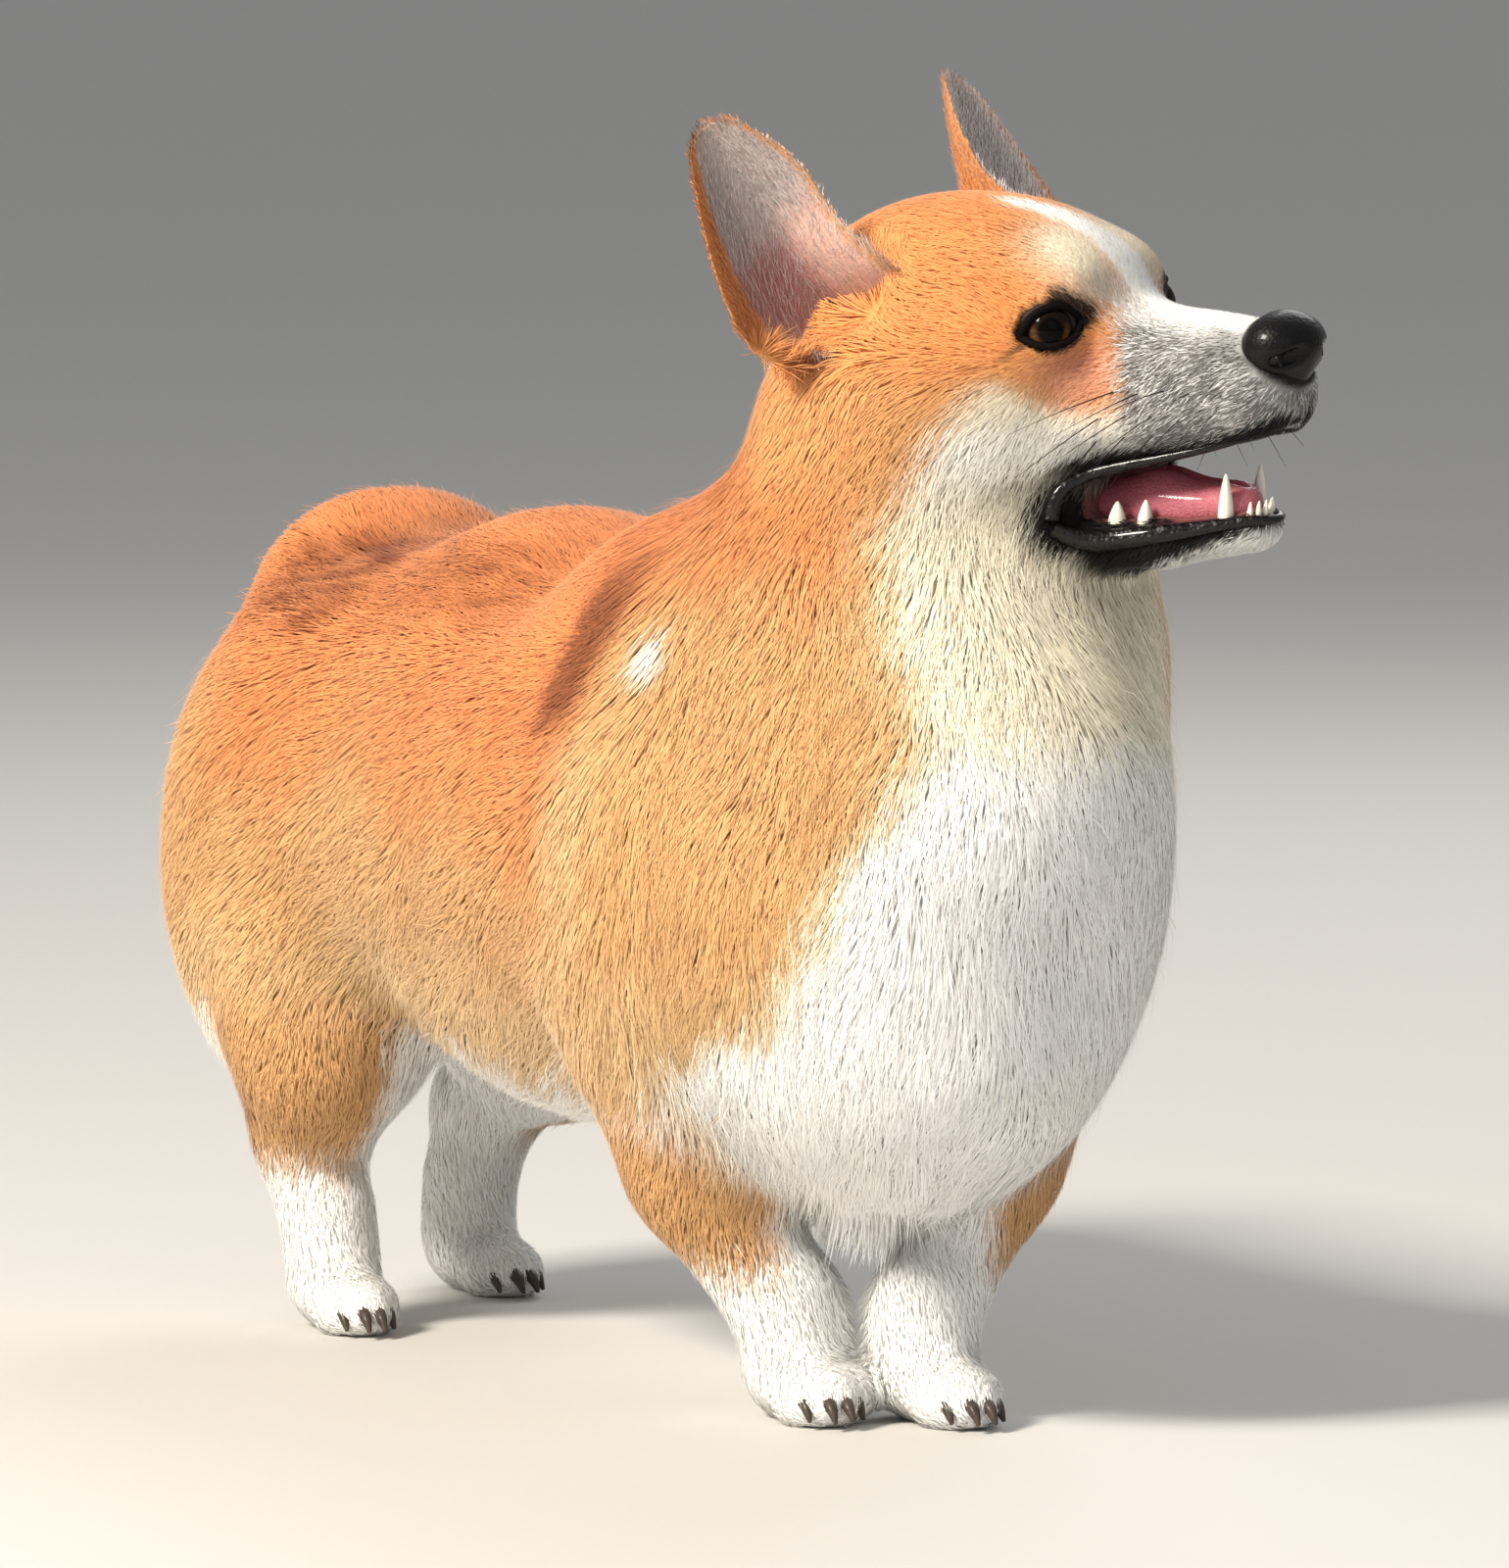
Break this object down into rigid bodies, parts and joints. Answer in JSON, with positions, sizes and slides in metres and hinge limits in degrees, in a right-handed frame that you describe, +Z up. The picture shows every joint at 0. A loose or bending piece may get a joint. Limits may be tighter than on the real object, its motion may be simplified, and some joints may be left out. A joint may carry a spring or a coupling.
{
  "type": "pembroke welsh corgi, still model",
  "caption": "Life-size still model of a Pembroke Welsh corgi walking with its head turned and mouth open, erect ears, deep chest, short legs and bobbed tail.",
  "frame": {"origin": "on the floor, under the middle of the bounding box", "axes": "+X forward along the body, +Y to the dog's left, +Z up; the paws stand on z = 0"},
  "size_m": [0.5506, 0.2332, 0.4408],
  "materials": {
    "coat_red": "long soft fur, red fawn",
    "coat_white": "long soft fur, white",
    "nose_leather": "moist black skin",
    "tongue": "moist pink flesh",
    "eye": "wet dark brown"
  },
  "bodies": {
    "root": {"torso": "coat_red", "neck": "coat_red", "head": "coat_red", "ear_left": "coat_red", "ear_right": "coat_red", "tail": "coat_red", "lower_jaw": "coat_white", "leg_fore_left": "coat_white", "leg_fore_right": "coat_white", "leg_hind_left": "coat_red", "leg_hind_right": "coat_red", "paw_fore_left": "coat_white", "paw_fore_right": "coat_white", "paw_hind_left": "coat_white", "paw_hind_right": "coat_white", "nose": "nose_leather", "tongue": "tongue", "eye_left": "eye", "eye_right": "eye"}
  },
  "joints": []
}
